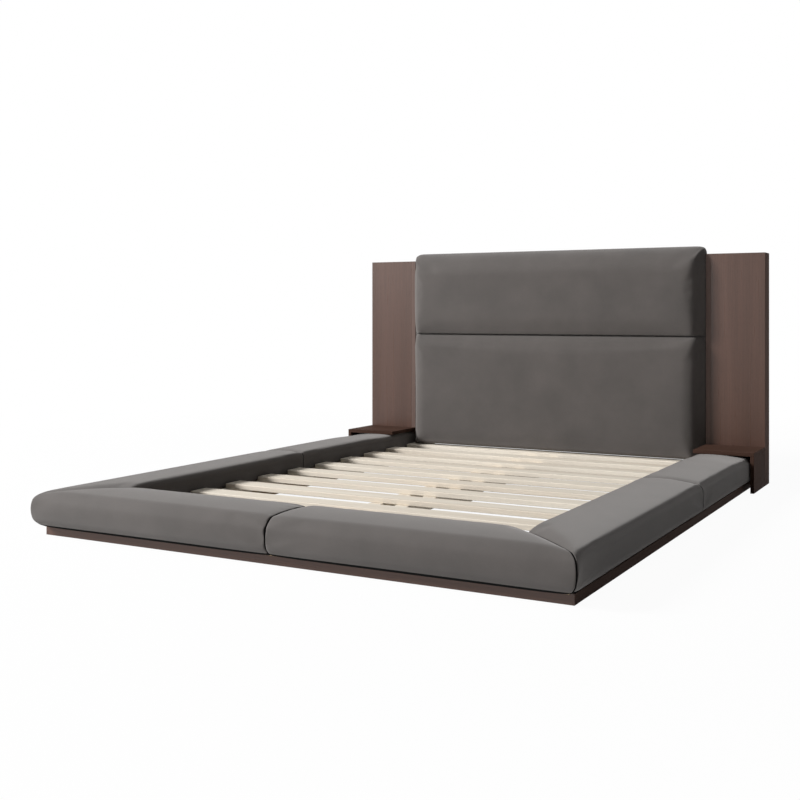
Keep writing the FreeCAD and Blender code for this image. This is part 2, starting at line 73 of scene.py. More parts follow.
# Sections of the rail padding along a side, along the foot and at a mitred corner: how far its inner
# edge lies above the rail's height and its outer edge below it, the crown of its top, the setback and
# bow of its face, the three rolls, how far its lower edge lies above the rail's height at the bottom, how
# far its hem hangs below that height, and how far along a rail the mitre's section reaches
Section = namedtuple("Section", "rise drop crown setback bow inner_roll outer_roll lower_roll lift hem")
SIDE_SECTION = Section(rise=0.001, drop=0.011, crown=0.011, setback=0.0, bow=0.003,
                       inner_roll=0.015, outer_roll=0.020, lower_roll=0.034, lift=0.008, hem=0.0015)
FOOT_SECTION = Section(rise=0.003, drop=0.004, crown=0.0075, setback=0.008, bow=0.009,
                       inner_roll=0.015, outer_roll=0.038, lower_roll=0.032, lift=0.011, hem=0.005)
MITRE_SECTION = Section(rise=-0.010, drop=0.008, crown=0.004, setback=0.011, bow=0.011,
                        inner_roll=0.012, outer_roll=0.020, lower_roll=0.026, lift=0.011, hem=0.0015)
MITRE_REACH = 0.035

# Gaps that keep the padding clear of the slats and of the boxes inside it
FLANGE_GAP = 0.003
PADDING_GAP = 0.0005
FLANGE_EDGE = 0.002
flange = slat_bottom + FLANGE_GAP
tuck = box_outer + PADDING_GAP

# Mesh of the rail padding: points in a section, places of the rings over a rolled end as shares of the
# roll, how many of these rings are black as painted shade in the seam, the step along a rail, and the turn
# from which the underside is lined black, partly a dust cover and partly painted shade under the roll
SECTION_POINTS = 64
ROLL_SHARES = np.array([0, 0.06, 0.25, 0.6])
PAINTED_SHADE_RINGS = 2
STATION_STEP = 0.016
LINING_AND_SHADE_TURN = -0.75

# How far a shelf holds the padding down, and where that starts and ends in front of the shelf
SETTLE_DEPTH = 0.0065
SETTLE_START = 0.28
SETTLE_END = 0.02

# Ends of the rail padding: half the gap between two covers, roll of the edge, draw of the cover, whether
# it is a mitre, and how far along the rail the draw reaches
Seam = namedtuple("Seam", "gap roll draw mitred")
FOOT_SEAM = Seam(gap=0.0008, roll=0.006, draw=0.003, mitred=False)
SIDE_SEAM = Seam(gap=0.0005, roll=0.003, draw=0.001, mitred=False)
MITRE_SEAM = Seam(gap=0.001, roll=0.0055, draw=0.0, mitred=True)
WING_END = Seam(gap=0.0, roll=0.004, draw=0.0, mitred=False)
DRAW_REACH = 0.08

# Headboard panels: width, slope and rounding of their side edges, (width, depth) of their upper and
# lower edges, the rim at the top, the rounding of the top corners, and the crown of the face
PAD_EDGE = 0.062
PAD_FLARE = 0.038
PAD_CORNER = 0.035
PAD_TOP = (0.118, 0.098)
PAD_ABOVE_SEAM = (0.095, 0.021)
PAD_BELOW_SEAM = (0.070, 0.040)
PAD_LOWER_EDGE = (0.018, 0.018)
PAD_RIM = 0.012
PAD_CORNER_POWER = 4
PAD_CROWN = 0.003
CROWN_POWER_ACROSS = 10
CROWN_POWER_UP = 3

# Mesh of the headboard panels: step over the face, lines over an edge, and rings round the rim
PAD_STEP = 0.020
EDGE_LINES = 11
RIM_SHARES = (0.5, 0.93)

# Boards: two thicknesses in a wing, widths of the eased edges, and the turn that tells an end from a face
WING_LID = 0.018
WING_BACK = 0.006
VENEER_EDGE = 0.0005
BOARD_EDGE = 0.001
BATTEN_EDGE = 0.002
SLAT_EDGE = 0.003
EASED_ANGLE = math.radians(40)
END_TURN = 0.5

# Finishes: colours of the cloth, and for each wood its colours from dark to pale, the depths of its
# streaks and pores, its roughness and its specular level
FABRIC_DARK = (0.072, 0.064, 0.060)
FABRIC_PALE = (0.092, 0.081, 0.076)
Wood = namedtuple("Wood", "tones streaks pores roughness specular")
TONE_PLACES = (0.25, 0.5, 0.75)
SATIN_TONES = ((0.072, 0.037, 0.026), (0.089, 0.046, 0.033), (0.106, 0.056, 0.041))
MATT_TONES = ((0.050, 0.027, 0.020), (0.062, 0.034, 0.025), (0.074, 0.041, 0.031))
# The edging tones are lighter than the satin veneer as a painted reflection on the wing edging; the outer
# wing sides share them
EDGING_TONES_PAINTED_REFLECTION = ((0.100, 0.062, 0.050), (0.120, 0.075, 0.061), (0.140, 0.088, 0.072))
PINE_TONES = ((0.69, 0.60, 0.49), (0.76, 0.69, 0.59), (0.81, 0.75, 0.65))
WALNUT = Wood(SATIN_TONES, streaks=0.22, pores=0.3, roughness=0.29, specular=0.45)
WALNUT_MATT = Wood(MATT_TONES, streaks=0.22, pores=0.3, roughness=0.65, specular=0.02)
WALNUT_EDGING_PAINTED_REFLECTION = Wood(EDGING_TONES_PAINTED_REFLECTION, streaks=0.2, pores=0.3, roughness=0.5, specular=0.3)
WALNUT_OUTER = Wood(EDGING_TONES_PAINTED_REFLECTION, streaks=0.2, pores=0.3, roughness=0.65, specular=0.02)
PINE = Wood(PINE_TONES, streaks=0.12, pores=0.1, roughness=0.6, specular=0.2)

# Studio: world strength, floor colour, the floor's fade to white as distances and shares, its reach and
# how far it lies below the bed, and each light's place, width, height and power
WHITE = (1, 1, 1, 1)
WORLD_LIGHT = 0.02
FLOOR_COLOUR = (0.8, 0.8, 0.8, 1)
FLOOR_FADE = (2.2, 5.0, 0.96, 1.0)
FLOOR_REACH = 20.0
FLOOR_DROP = 0.0005
LIGHT_AIM = (0, 0, 0.4)
LIGHTS = {"key": ((-11.62, -7.55, 8.3), 4.0, 4.0, 3900),
          "over": ((0, 0, 10), 4.0, 4.0, 120),
          "strip": ((-3.6, -6.2, 1.75), 5.5, 1.0, 50)}

# Swelling of the padded pieces: frames, cloth settings, and the furthest that a point may move
SWELL_FRAMES = 20
SWELL_QUALITY = 5
SWELL_MASS = 0.4
SWELL_STIFFNESS = 30
SWELL_BENDING = 5
SWELL_PRESSURE = 4
RAIL_CAP = 0.003
PAD_CAP = 0.005


def make_piece(name, points, faces):
    """A smooth mesh piece that rides on the bed."""
    mesh = bpy.data.meshes.new(name)
    mesh.from_pydata([tuple(point) for point in points], [], faces)
    shape = bmesh.new()
    shape.from_mesh(mesh)
    bmesh.ops.recalc_face_normals(shape, faces=shape.faces)
    shape.to_mesh(mesh)
    shape.free()
    mesh.polygons.foreach_set("use_smooth", [True] * len(mesh.polygons))
    piece = bpy.data.objects.new(name, mesh)
    scene.collection.objects.link(piece)
    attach(piece, "bed")
    return piece


def even_points(path, count):
    """A path resampled to a number of evenly spaced points."""
    path = np.array(path)
    travelled = np.concatenate([[0], np.cumsum(np.linalg.norm(np.diff(path, axis=0), axis=1))])
    wanted = np.linspace(0, travelled[-1], count)
    return np.stack([np.interp(wanted, travelled, path[:, axis]) for axis in range(path.shape[1])], axis=1)


def rounded_path(corners, radii, steps=8):
    """Straight runs between corners, with an arc of its own radius at each inner corner."""
    points = [corners[0]]
    for before, corner, after, radius in zip(corners, corners[1:], corners[2:], radii):
        before, corner, after = Vector(before), Vector(corner), Vector(after)
        back = (before - corner).normalized()
        onward = (after - corner).normalized()
        half_angle = back.angle(onward) / 2
        middle = corner + (back + onward).normalized() * radius / math.sin(half_angle)
        start = corner + back * radius / math.tan(half_angle) - middle
        end = corner + onward * radius / math.tan(half_angle) - middle
        for step in range(steps + 1):
            share = step / steps
            arm = (start * (1 - share) + end * share).normalized() * radius
            points.append(tuple(middle + arm))
    points.append(corners[-1])
    return points


def outward_normals(path):
    """Unit normals on the left of a path of (across, up) points."""
    along = np.gradient(path, axis=0)
    normals = np.stack([-along[:, 1], along[:, 0]], axis=1)
    return normals / np.linalg.norm(normals, axis=1)[:, None]


def rail_section(shape):
    """Points of the cover round the padding, each (distance from the inner face, height)."""
    inner_edge = rail_top + shape.rise
    outer_edge = rail_top - shape.drop
    face = rail_width - shape.setback
    bottom = rail_bottom + shape.lift
    hem = rail_bottom - shape.hem
    corners = [(0, flange), (0, inner_edge), (face, outer_edge), (face, bottom), (tuck, hem)]
    path = rounded_path(corners, (shape.inner_roll, shape.outer_roll, shape.lower_roll))
    cover = even_points(path, SECTION_POINTS)
    normals = outward_normals(cover)
    crown = 1 - (2 * cover[:, 0] / face - 1) ** 2
    bow = 1 - (2 * (cover[:, 1] - bottom) / (outer_edge - bottom) - 1) ** 2
    cover[:, 1] += shape.crown * np.clip(crown, 0, 1) * np.clip(normals[:, 1], 0, 1) ** 2
    cover[:, 0] += shape.bow * np.clip(bow, 0, 1) * np.clip(normals[:, 0], 0, 1) ** 2
    return cover


def hidden_section():
    """Points of the padding's hidden side on its box, in the same form."""
    inner = box_inner - PADDING_GAP
    over = box_top + PADDING_GAP
    return even_points([(inner, flange), (inner, over), (tuck, over), (tuck, rail_bottom + FLANGE_EDGE)],
                       SECTION_POINTS)


def end_inset(distance, seam):
    """How far the cover lies below its full section at a distance from a sewn end."""
    short = np.clip(seam.roll - distance, 0, seam.roll)
    rolled = seam.roll - np.sqrt(np.clip(seam.roll ** 2 - short ** 2, 0, None))
    return rolled + seam.draw * np.exp(-distance / DRAW_REACH)


def mitre_share(distance, seam):
    """How much of the mitre's own section a cover takes at a distance from a sewn end."""
    return math.exp(-distance / MITRE_REACH) if seam.mitred else 0


def settled(along, up, runs_under_shelf):
    """Height of a point of the cover where a shelf holds the padding down."""
    start, end = shelf_front - SETTLE_START, shelf_front - SETTLE_END
    share = min(max((along - start) / (end - start), 0), 1) if runs_under_shelf else 0
    height = min(max((up - box_top) / (rail_top - box_top), 0), 1)
    return up - SETTLE_DEPTH * share ** 2 * (3 - 2 * share) * height


def rail_cushion(node, shape, spot, run_start, run_end, first_seam, last_seam, runs_under_shelf=False):
    """Padding of one length of rail. spot turns (across, along, up) into a place, and the two run
    functions give where the length starts and ends at a distance across. Its underside has a black
    lining, partly a dust cover and partly painted shade under the lower roll, and the rings over its
    sewn ends are black as painted shade in the seams."""
    own, mitred, inside = rail_section(shape), rail_section(MITRE_SECTION), hidden_section()
    count = SECTION_POINTS
    first_roll, last_roll = first_seam.roll, last_seam.roll
    middle = rail_width / 2
    shares = np.linspace(0, 1, int((run_end(middle) - run_start(middle)) / STATION_STEP))
    stations = [(run, 0, 0) for run in first_roll * ROLL_SHARES]
    stations += [(first_roll, share, last_roll) for share in shares]
    stations += [(0, 1, run) for run in last_roll * ROLL_SHARES[::-1]]
    points = []
    for lead, share, trail in stations:
        def along(across):
            first = run_start(across) + first_seam.gap + lead
            last = run_end(across) - last_seam.gap - trail
            return first * (1 - share) + last * share
        passed = along(middle) - run_start(middle) - first_seam.gap
        left = run_end(middle) - last_seam.gap - along(middle)
        inset = end_inset(passed, first_seam) + end_inset(left, last_seam)
        cover = own + (mitred - own) * (mitre_share(passed, first_seam) + mitre_share(left, last_seam))
        for across, up in cover - outward_normals(cover) * inset:
            points.append(spot(across, along(across), settled(along(across), up, runs_under_shelf)))
        points += [spot(across, along(across), up) for across, up in inside[::-1]]
    loop = 2 * count
    faces = []
    lining_and_shade_faces = []
    # Downward-facing points get the black lining: partly a dust cover, partly painted shade under the lower
    # roll
    below = outward_normals(own)[:, 1] < LINING_AND_SHADE_TURN
    below[-1] = False
    for station in range(len(stations) - 1):
        for index in range(loop):
            after = (index + 1) % loop
            low, high = station * loop, (station + 1) * loop
            faces.append((low + index, low + after, high + after, high + index))
            # Rings next to a sewn end are black: painted shade in the seam
            in_painted_seam_shade = station < PAINTED_SHADE_RINGS or station >= len(stations) - 1 - PAINTED_SHADE_RINGS
            lining_and_shade_faces.append(int(index < count and (below[index] or in_painted_seam_shade)))
    for base in (0, (len(stations) - 1) * loop):
        for index in range(count - 1):
            faces.append((base + index, base + index + 1, base + loop - 2 - index, base + loop - 1 - index))
    piece = make_piece(node + "_cover", points, faces)
    ends = (0, len(stations) - 1)
    sewn = [station * loop + index for station in range(len(stations)) for index in range(loop)
            if station in ends or index >= count or index in (0, count - 1)]
    finish_soft(piece, node, sewn, RAIL_CAP)
    piece.data.materials.append(lining_and_painted_shade)
    lining_and_shade_faces += [0] * (len(faces) - len(lining_and_shade_faces))
    piece.data.polygons.foreach_set("material_index", lining_and_shade_faces)


def rail_cushions():
    """All six lengths of padded rail."""
    for side, word in ((-1, "left"), (1, "right")):
        def foot_spot(across, along, up):
            return side * along, foot_inner - across, up

        def side_spot(across, along, up):
            return side * (half_opening + across), along, up

        rail_cushion(f"foot_cushion_{word}", FOOT_SECTION, foot_spot, lambda across: 0,
                     lambda across: half_opening + across, FOOT_SEAM, MITRE_SEAM)
        rail_cushion(f"{word}_front_cushion", SIDE_SECTION, side_spot, lambda across: foot_inner - across,
                     lambda across: side_seam, MITRE_SEAM, SIDE_SEAM)
        rail_cushion(f"{word}_head_cushion", SIDE_SECTION, side_spot, lambda across: side_seam,
                     lambda across: rail_head_end, SIDE_SEAM, WING_END, runs_under_shelf=True)


def flared_edge(flare, depth, corner):
    """A rolled edge that slopes back to its rim: distances in from the rim and depths below the
    face, from the face out to the rim."""
    path = rounded_path([(PAD_EDGE, 0), (flare, 0), (0, depth)], (corner,))
    places = even_points(path, EDGE_LINES + 1)[1:]
    return places[:, 0], places[:, 1]


def seam_edge(width, depth):
    """A plain round edge, in the same form as flared_edge."""
    turn = np.linspace(0, math.pi / 2, EDGE_LINES + 1)[1:]
    return width * (1 - np.sin(turn)), depth * (1 - np.cos(turn))


def panel_lines(low, high, low_edge, high_edge, low_width, high_width):
    """Grid lines across a panel, even ones over its face and the edges' own beyond, and their depths."""
    face = np.linspace(low + low_width, high - high_width, int((high - low) / PAD_STEP))
    places = np.concatenate([low + low_edge[0][::-1], face, high - high_edge[0]])
    depths = np.concatenate([low_edge[1][::-1], 0 * face, high_edge[1]])
    return places, depths


def headboard_panel(node, low_edge, high_edge, at_top):
    """A padded panel with a nearly flat front, side edges that slope back to the wings, and round
    edges below and above. The upper panel has rounded corners at its top."""
    low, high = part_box(node)
    face = low.y
    side_edge = flared_edge(PAD_FLARE, wing_front - face - PAD_CROWN, PAD_CORNER)
    across, across_depth = panel_lines(low.x, high.x, side_edge, side_edge, PAD_EDGE, PAD_EDGE)
    up_lines = panel_lines(low.z, high.z, seam_edge(*low_edge), seam_edge(*high_edge),
                           low_edge[0], high_edge[0])
    back = high.y - PADDING_GAP
    middle = (low.z + high.z) / 2
    front_points, back_points = [], []
    for place_up, depth_up in zip(*up_lines):
        over_up = max(1 - (high.z - place_up) / PAD_EDGE, 0) if at_top else 0
        for place_across, depth_across in zip(across, across_depth):
            over_across = max(1 - (high.x - abs(place_across)) / PAD_EDGE, 0)
            widest = max(over_across, over_up)
            norm = (over_across ** PAD_CORNER_POWER + over_up ** PAD_CORNER_POWER) ** (1 / PAD_CORNER_POWER)
            pull = PAD_EDGE * (1 - widest / norm) if norm else 0
            x = place_across - math.copysign(pull * over_across, place_across)
            z = place_up - pull * over_up
            drop = max(depth_across, depth_up) if over_up else depth_across + depth_up
            flat_across = 1 - min(abs(x) / (high.x - PAD_FLARE), 1) ** CROWN_POWER_ACROSS
            flat_up = 1 - min(abs(z - middle) / (high.z - middle), 1) ** CROWN_POWER_UP
            y = face + PAD_CROWN * (1 - flat_across * flat_up) + drop
            furthest = wing_front if z < wing_top else back - PAD_RIM
            front_points.append((x, min(y, furthest), z))
            back_points.append((x, back, z))
    wide, tall = len(across), len(up_lines[0])
    rim = list(range(wide))
    rim += [row * wide + wide - 1 for row in range(1, tall)]
    rim += [(tall - 1) * wide + index for index in range(wide - 2, -1, -1)]
    rim += [row * wide for row in range(tall - 2, 0, -1)]
    points = front_points + back_points
    faces = []
    for row in range(tall - 1):
        for column in range(wide - 1):
            corner = row * wide + column
            quad = (corner, corner + 1, corner + wide + 1, corner + wide)
            faces.append(quad)
            faces.append(tuple(index + wide * tall for index in quad))
    rings = [rim]
    for share in RIM_SHARES:
        ring = []
        for index in rim:
            ring.append(len(points))
            fore, aft = np.array(front_points[index]), np.array(back_points[index])
            points.append(tuple(fore * (1 - share) + aft * share))
        rings.append(ring)
    rings.append([index + wide * tall for index in rim])
    for first, second in zip(rings, rings[1:]):
        for index in range(len(rim)):
            after = (index + 1) % len(rim)
            faces.append((first[index], first[after], second[after], second[index]))
    piece = make_piece(node + "_cover", points, faces)
    sewn = rim + list(range(wide * tall, len(points)))
    finish_soft(piece, node, sewn, PAD_CAP)


def swell(piece, sewn, cap):
    """Swell a piece with a short cloth simulation that its sewn points hold, and keep the result."""
    mesh = piece.data
    rest = np.zeros(len(mesh.vertices) * 3)
    mesh.vertices.foreach_get("co", rest)
    group = piece.vertex_groups.new(name="sewn")
    group.add(sewn, 1.0, "REPLACE")
    cloth = piece.modifiers.new("swell", "CLOTH")
    settings = cloth.settings
    settings.quality = SWELL_QUALITY
    settings.mass = SWELL_MASS
    settings.tension_stiffness = SWELL_STIFFNESS
    settings.compression_stiffness = SWELL_STIFFNESS
    settings.bending_stiffness = SWELL_BENDING
    settings.vertex_group_mass = "sewn"
    settings.use_pressure = True
    settings.uniform_pressure_force = SWELL_PRESSURE
    settings.effector_weights.gravity = 0
    cloth.collision_settings.use_collision = False
    cloth.point_cache.frame_start = 1
    cloth.point_cache.frame_end = SWELL_FRAMES
    for step in range(1, SWELL_FRAMES + 1):
        scene.frame_set(step)
    swollen = piece.evaluated_get(bpy.context.evaluated_depsgraph_get()).data
    moved = np.zeros(len(rest))
    swollen.vertices.foreach_get("co", moved)
    shift = (moved - rest).reshape(-1, 3)
    length = np.linalg.norm(shift, axis=1)
    eased = cap * np.tanh(length / cap)
    shift *= (eased / np.maximum(length, 1e-9))[:, None]
    piece.modifiers.remove(cloth)
    piece.vertex_groups.remove(group)
    mesh.vertices.foreach_set("co", rest + shift.ravel())
    mesh.update()
    scene.frame_set(1)


def finish_soft(piece, node, sewn, cap):
    """Swell, smooth and cover a padded piece, and hide the CAD part it stands for."""
    swell(piece, sewn, cap)
    smooth = piece.modifiers.new("smooth", "SUBSURF")
    smooth.levels = 1
    smooth.render_levels = 1
    piece.data.materials.append(fabric)
    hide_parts(node)


def new_material(name):
    """A material with only its surface shader, and the node tree to build it in."""
    material = bpy.data.materials.new(name)
    material.use_nodes = True
    tree = material.node_tree
    return material, tree, tree.nodes["Principled BSDF"]


def texture(tree, kind, vector, **inputs):
    """A texture node fed by a vector."""
    made = tree.nodes.new(kind)
    for name, number in inputs.items():
        made.inputs[name].default_value = number
    tree.links.new(vector, made.inputs["Vector"])
    return made


def stretched(tree, scale):
    """Object coordinates in metres times a scale along each axis."""
    place = tree.nodes.new("ShaderNodeTexCoord")
    mapping = tree.nodes.new("ShaderNodeMapping")
    mapping.inputs["Scale"].default_value = scale
    tree.links.new(place.outputs["Object"], mapping.inputs["Vector"])
    return mapping.outputs["Vector"]


def ramp(tree, factor, stops):
    """A colour ramp from (place, colour) stops."""
    made = tree.nodes.new("ShaderNodeValToRGB")
    elements = made.color_ramp.elements
    while len(elements) < len(stops):
        elements.new(0.5)
    for element, (place, colour) in zip(elements, stops):
        element.position = place
        element.color = (*colour, 1)
    tree.links.new(factor, made.inputs["Fac"])
    return made.outputs["Color"]


def blended(tree, kind, share, first, second):
    """Two colours mixed, multiplied or otherwise blended, by a share of the second."""
    made = tree.nodes.new("ShaderNodeMix")
    made.data_type = "RGBA"
    made.blend_type = kind
    made.inputs["Factor"].default_value = share
    tree.links.new(first, made.inputs[6])
    tree.links.new(second, made.inputs[7])
    return made.outputs[2]


def bumped(tree, shader, height, distance, strength):
    """Surface relief from a height output."""
    made = tree.nodes.new("ShaderNodeBump")
    made.inputs["Strength"].default_value = strength
    made.inputs["Distance"].default_value = distance
    tree.links.new(height, made.inputs["Height"])
    tree.links.new(made.outputs["Normal"], shader.inputs["Normal"])


def grey(level):
    """A neutral colour."""
    return (level, level, level)


def make_fabric():
    """Short-napped taupe cloth with soft brushed patches and a faint pale sheen."""
    material, tree, shader = new_material("taupe_nap")
    place = stretched(tree, (1, 1, 1))
    patches = texture(tree, "ShaderNodeTexNoise", place, Scale=6.0, Detail=4.0, Roughness=0.55)
    nap = texture(tree, "ShaderNodeTexNoise", place, Scale=700.0, Detail=3.0, Roughness=0.7)
    tone = ramp(tree, patches.outputs["Fac"], [(0.3, FABRIC_DARK), (0.7, FABRIC_PALE)])
    fibres = ramp(tree, nap.outputs["Fac"], [(0.3, grey(0.84)), (0.7, grey(1.0))])
    tree.links.new(blended(tree, "MULTIPLY", 1.0, tone, fibres), shader.inputs["Base Color"])
    shader.inputs["Roughness"].default_value = 0.75
    shader.inputs["Specular IOR Level"].default_value = 0.15
    shader.inputs["Sheen Weight"].default_value = 0.34
    shader.inputs["Sheen Roughness"].default_value = 0.58
    shader.inputs["Sheen Tint"].default_value = (0.9, 0.88, 0.86, 1)
    bumped(tree, shader, nap.outputs["Fac"], 0.0006, 0.4)
    return material


def make_lining_and_painted_shade():
    """Black felted cloth that closes the padding from below, also put as painted shade under the lower roll
    and in the seams.
    """
    material, tree, shader = new_material("black_lining_and_painted_shade")
    felt = texture(tree, "ShaderNodeTexNoise", stretched(tree, (1, 1, 1)), Scale=500.0, Detail=3.0)
    tree.links.new(ramp(tree, felt.outputs["Fac"], [(0.3, grey(0.010)), (0.7, grey(0.016))]),
                   shader.inputs["Base Color"])
    shader.inputs["Roughness"].default_value = 0.95
    shader.inputs["Specular IOR Level"].default_value = 0.0
    return material


def grain_scale(axis, along, across):
    """Texture scale of a grain that runs along one axis."""
    return tuple(along if name == axis else across for name in "xyz")


def make_wood(name, axis, wood):
    """Timber with its grain along an axis: broad figure, fine streaks and short pores."""
    material, tree, shader = new_material(f"{name}_{axis}")
    figure = texture(tree, "ShaderNodeTexNoise", stretched(tree, grain_scale(axis, 0.5, 11)),
                     Scale=1.0, Detail=4.0, Roughness=0.55)
    streaks = texture(tree, "ShaderNodeTexNoise", stretched(tree, grain_scale(axis, 2.0, 140)),
                      Scale=1.0, Detail=4.0, Roughness=0.65)
    pores = texture(tree, "ShaderNodeTexNoise", stretched(tree, grain_scale(axis, 24, 620)),
                    Scale=1.0, Detail=2.0, Roughness=0.6)
    tone = ramp(tree, figure.outputs["Fac"], list(zip(TONE_PLACES, wood.tones)))
    lines = ramp(tree, streaks.outputs["Fac"], [(0.3, grey(1 - wood.streaks)), (0.65, grey(1.0))])
    dots = ramp(tree, pores.outputs["Fac"], [(0.30, grey(1 - wood.pores)), (0.42, grey(1.0))])
    lined = blended(tree, "MULTIPLY", 1.0, tone, lines)
    tree.links.new(blended(tree, "MULTIPLY", 1.0, lined, dots), shader.inputs["Base Color"])
    gloss = ramp(tree, streaks.outputs["Fac"],
                 [(0.2, grey(wood.roughness + 0.08)), (0.8, grey(wood.roughness - 0.05))])
    tree.links.new(gloss, shader.inputs["Roughness"])
    shader.inputs["Specular IOR Level"].default_value = wood.specular
    bumped(tree, shader, dots, 0.0003, 0.5)
    return material


def make_board():
    """Pale chipboard with flecks."""
    material, tree, shader = new_material("chipboard")
    place = stretched(tree, (1, 1, 1))
    chips = texture(tree, "ShaderNodeTexVoronoi", place, Scale=160.0)
    dust = texture(tree, "ShaderNodeTexNoise", place, Scale=60.0, Detail=5.0)
    tone = ramp(tree, dust.outputs["Fac"], [(0.3, (0.36, 0.25, 0.15)), (0.7, (0.52, 0.39, 0.25))])
    flecks = ramp(tree, chips.outputs["Distance"], [(0.0, grey(1.0)), (0.8, grey(0.7))])
    tree.links.new(blended(tree, "MULTIPLY", 0.6, tone, flecks), shader.inputs["Base Color"])
    shader.inputs["Roughness"].default_value = 0.8
    bumped(tree, shader, chips.outputs["Distance"], 0.0004, 0.4)
    return material


def make_hardboard():
    """Dark brown pressed panel with a fine pebbled face."""
    material, tree, shader = new_material("hardboard")
    place = stretched(tree, (1, 1, 1))
    pebbles = texture(tree, "ShaderNodeTexNoise", place, Scale=420.0, Detail=3.0)
    clouds = texture(tree, "ShaderNodeTexNoise", place, Scale=9.0, Detail=4.0)
    tone = ramp(tree, clouds.outputs["Fac"], [(0.3, (0.060, 0.045, 0.036)), (0.7, (0.082, 0.062, 0.050))])
    tree.links.new(tone, shader.inputs["Base Color"])
    shader.inputs["Roughness"].default_value = 0.6
    bumped(tree, shader, pebbles.outputs["Fac"], 0.0004, 0.5)
    return material


def make_hard_finish(name, low, high, metallic, roughness):
    """Coated or plated steel, or moulded plastic, with a slightly uneven finish."""
    material, tree, shader = new_material(name)
    place = stretched(tree, (1, 1, 1))
    skin = texture(tree, "ShaderNodeTexNoise", place, Scale=300.0, Detail=4.0)
    tone = ramp(tree, skin.outputs["Fac"], [(0.3, low), (0.7, high)])
    tree.links.new(tone, shader.inputs["Base Color"])
    shader.inputs["Metallic"].default_value = metallic
    gloss = ramp(tree, skin.outputs["Fac"], [(0.2, grey(roughness - 0.08)), (0.8, grey(roughness + 0.08))])
    tree.links.new(gloss, shader.inputs["Roughness"])
    bumped(tree, shader, skin.outputs["Fac"], 0.0002, 0.3)
    return material


def clothe(names, material, edge=None):
    """Give CAD pieces their finish, and ease their sharp edges where a width is given."""
    for name in names:
        piece = nodes[name]
        piece.data.materials.clear()
        piece.data.materials.append(material)
        if edge:
            join = piece.modifiers.new("join", "WELD")
            join.merge_threshold = 1e-5
            ease = piece.modifiers.new("ease", "BEVEL")
            ease.width = edge
            ease.segments = 2
            ease.limit_method = "ANGLE"
            ease.angle_limit = EASED_ANGLE
            shade = piece.modifiers.new("shade", "WEIGHTED_NORMAL")
            shade.keep_sharp = False


def eased_boards(name, boxes, edge, material, replaced, end_material=None):
    """Boards with rounded edges, in one piece that stands for a CAD node. Their ends along x may have
    a finish of their own."""
    shape = bmesh.new()
    for low, high in boxes:
        corners = bmesh.ops.create_cube(shape, size=1.0)["verts"]
        size = Vector(high) - Vector(low)
        for corner in corners:
            corner.co = Vector(low) + Vector([(place + 0.5) * side for place, side in zip(corner.co, size)])
    bmesh.ops.bevel(shape, geom=shape.edges[:], offset=edge, segments=3, profile=0.5, affect="EDGES")
    bmesh.ops.recalc_face_normals(shape, faces=shape.faces)
    mesh = bpy.data.meshes.new(name)
    shape.to_mesh(mesh)
    shape.free()
    mesh.polygons.foreach_set("use_smooth", [True] * len(mesh.polygons))
    mesh.materials.append(material)
    if end_material:
        mesh.materials.append(end_material)
        ends = [int(abs(face.normal.x) > END_TURN) for face in mesh.polygons]
        mesh.polygons.foreach_set("material_index", ends)
    piece = bpy.data.objects.new(name, mesh)
    scene.collection.objects.link(piece)
    even = piece.modifiers.new("even", "WEIGHTED_NORMAL")
    even.keep_sharp = False
    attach(piece, "bed")
    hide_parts(replaced)


def wing_boards(side):
    """The inner side, lid and back panel of a wing, as (lowest, highest) corners."""
    low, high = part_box(f"{side}_wing_carcass")
    face_low, face_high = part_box(f"{side}_wing_face")
    lid_bottom = high.z - WING_LID
    back_front = high.y - WING_BACK
    inner, outer = ((low.x, face_low.x), (face_low.x, high.x)) if side == "right" else \
                   ((face_high.x, high.x), (low.x, face_high.x))
    return [((inner[0], low.y, low.z), (inner[1], high.y, high.z)),
            ((outer[0], face_high.y, lid_bottom), (outer[1], high.y, high.z)),
            ((outer[0], back_front, low.z), (outer[1], high.y, lid_bottom))]


def timber():
    """Finishes of the wooden pieces, each with its grain along its length."""
    satin = {axis: make_wood("walnut", axis, WALNUT) for axis in "xz"}
    matt = {axis: make_wood("walnut_matt", axis, WALNUT_MATT) for axis in "xyz"}
    # The wing edging's lighter tones are a painted reflection
    edging_painted_reflection = make_wood("walnut_edging_painted_reflection", "z", WALNUT_EDGING_PAINTED_REFLECTION)
    outer = make_wood("walnut_outer", "z", WALNUT_OUTER)
    pine = {axis: make_wood("pine", axis, PINE) for axis in "xy"}
    sides = ("left", "right")
    eased_boards("plinth_front_veneered", [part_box("plinth_front")], VENEER_EDGE, satin["x"],
                 "plinth_front", matt["x"])
    clothe([f"{side}_shelf" for side in sides], matt["x"], BOARD_EDGE)
    clothe([f"{side}_plinth" for side in sides], matt["y"], BOARD_EDGE)
    clothe([f"{side}_shelf_leg" for side in sides], matt["z"], BOARD_EDGE)
    clothe([f"{side}_wing_side" for side in sides], outer, BOARD_EDGE)
    for side in sides:
        carcass, face = f"{side}_wing_carcass", f"{side}_wing_face"
        eased_boards(f"{side}_wing_boards", wing_boards(side), BOARD_EDGE, edging_painted_reflection, carcass)
        eased_boards(f"{face}_veneered", [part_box(face)], VENEER_EDGE, satin["z"], face, outer)
    for name in [name for name in nodes if name.startswith("slat_") and name != "slat_screws"]:
        eased_boards(f"{name}_eased", [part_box(name)], SLAT_EDGE, pine["x"], name)
    clothe(["head_crossbar"], pine["x"], BATTEN_EDGE)
    lengthwise = ["centre_beam_left", "centre_beam_right", "left_ledger", "right_ledger"]
    legs = [name for name in nodes if name.startswith("centre_leg_")]
    clothe(lengthwise + legs, pine["y"], BATTEN_EDGE)


